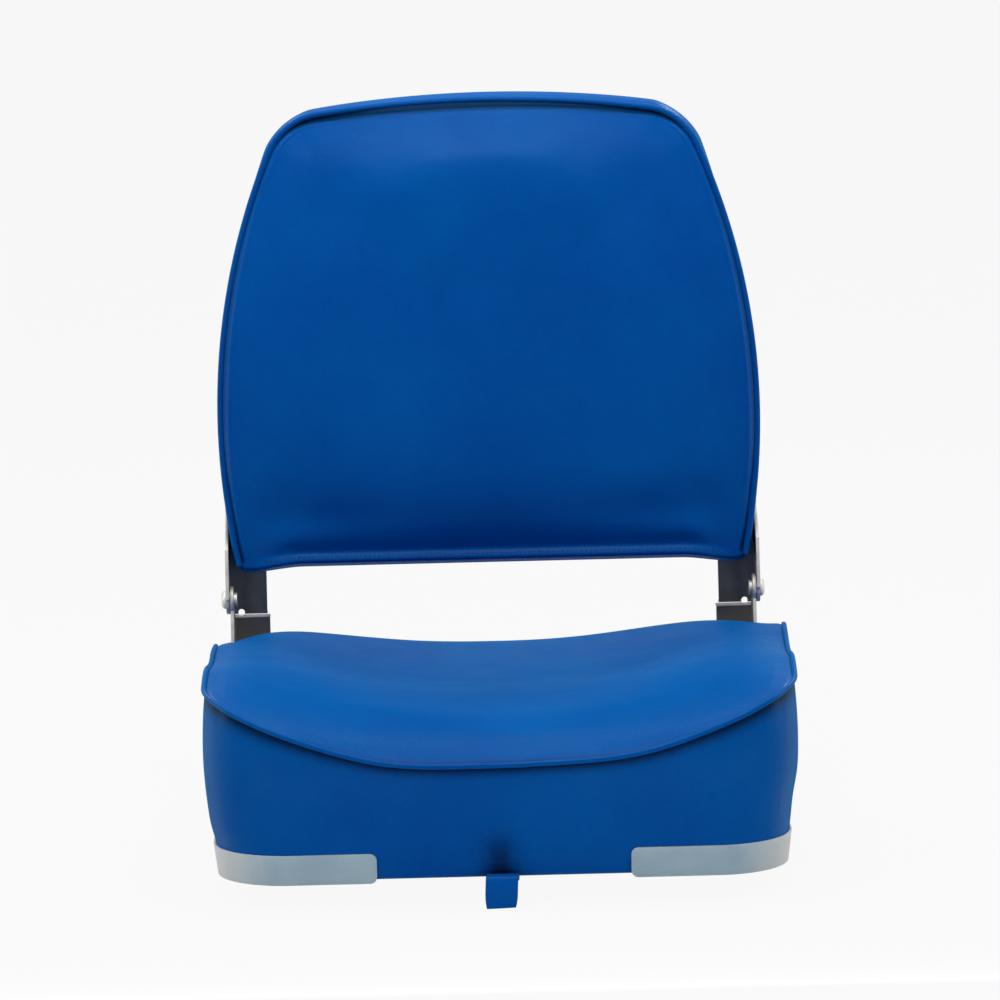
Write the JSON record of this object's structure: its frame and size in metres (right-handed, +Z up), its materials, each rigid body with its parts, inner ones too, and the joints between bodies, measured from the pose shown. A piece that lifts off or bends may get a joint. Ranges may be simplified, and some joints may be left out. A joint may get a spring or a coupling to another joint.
{
  "type": "folding boat seat",
  "caption": "Low-back boat seat with dished vinyl cushion, folding padded backrest on riveted steel hinge brackets, clear corner guards and a strap tab.",
  "frame": {"origin": "middle of the pedestal bolt pattern, on the underside of the seat board", "axes": "+Z up, the seat faces -Y, +X towards the right-hand side seen from the front"},
  "size_m": [0.425, 0.4909, 0.5356],
  "materials": {
    "blue_vinyl": "satin",
    "plywood": "raw",
    "foam": "matte",
    "guard_plastic": "translucent",
    "bracket_steel": "satin",
    "plated_steel": "plated"
  },
  "bodies": {
    "seat": {"seat_base_board": "plywood", "seat_foam": "foam", "seat_top_panel": "blue_vinyl", "seat_boxing": "blue_vinyl", "seat_welt": "blue_vinyl", "corner_guard_left": "guard_plastic", "corner_guard_right": "guard_plastic", "guard_screws": "plated_steel", "hold_down_strap": "blue_vinyl", "strap_screw": "plated_steel", "pedestal_t_nuts": "plated_steel", "hinge_base_left": "bracket_steel", "hinge_base_right": "bracket_steel", "hinge_base_bolts": "plated_steel", "hinge_base_t_nuts": "plated_steel", "pivot_rivet_left": "plated_steel", "pivot_rivet_right": "plated_steel", "pivot_washers": "plated_steel"},
    "backrest": {"back_board": "plywood", "back_foam": "foam", "back_front_panel": "blue_vinyl", "back_boxing": "blue_vinyl", "back_welt": "blue_vinyl", "back_rear_panel": "blue_vinyl", "hinge_arm_left": "bracket_steel", "hinge_arm_right": "bracket_steel", "hinge_arm_bolts": "plated_steel", "hinge_arm_t_nuts": "plated_steel"}
  },
  "joints": [
    {"name": "backrest_fold", "type": "hinge", "parent": "seat", "child": "backrest", "pos_m": [0, 0.18, 0.137], "axis": [1, 0, 0], "range_deg": [0, 92]}
  ]
}
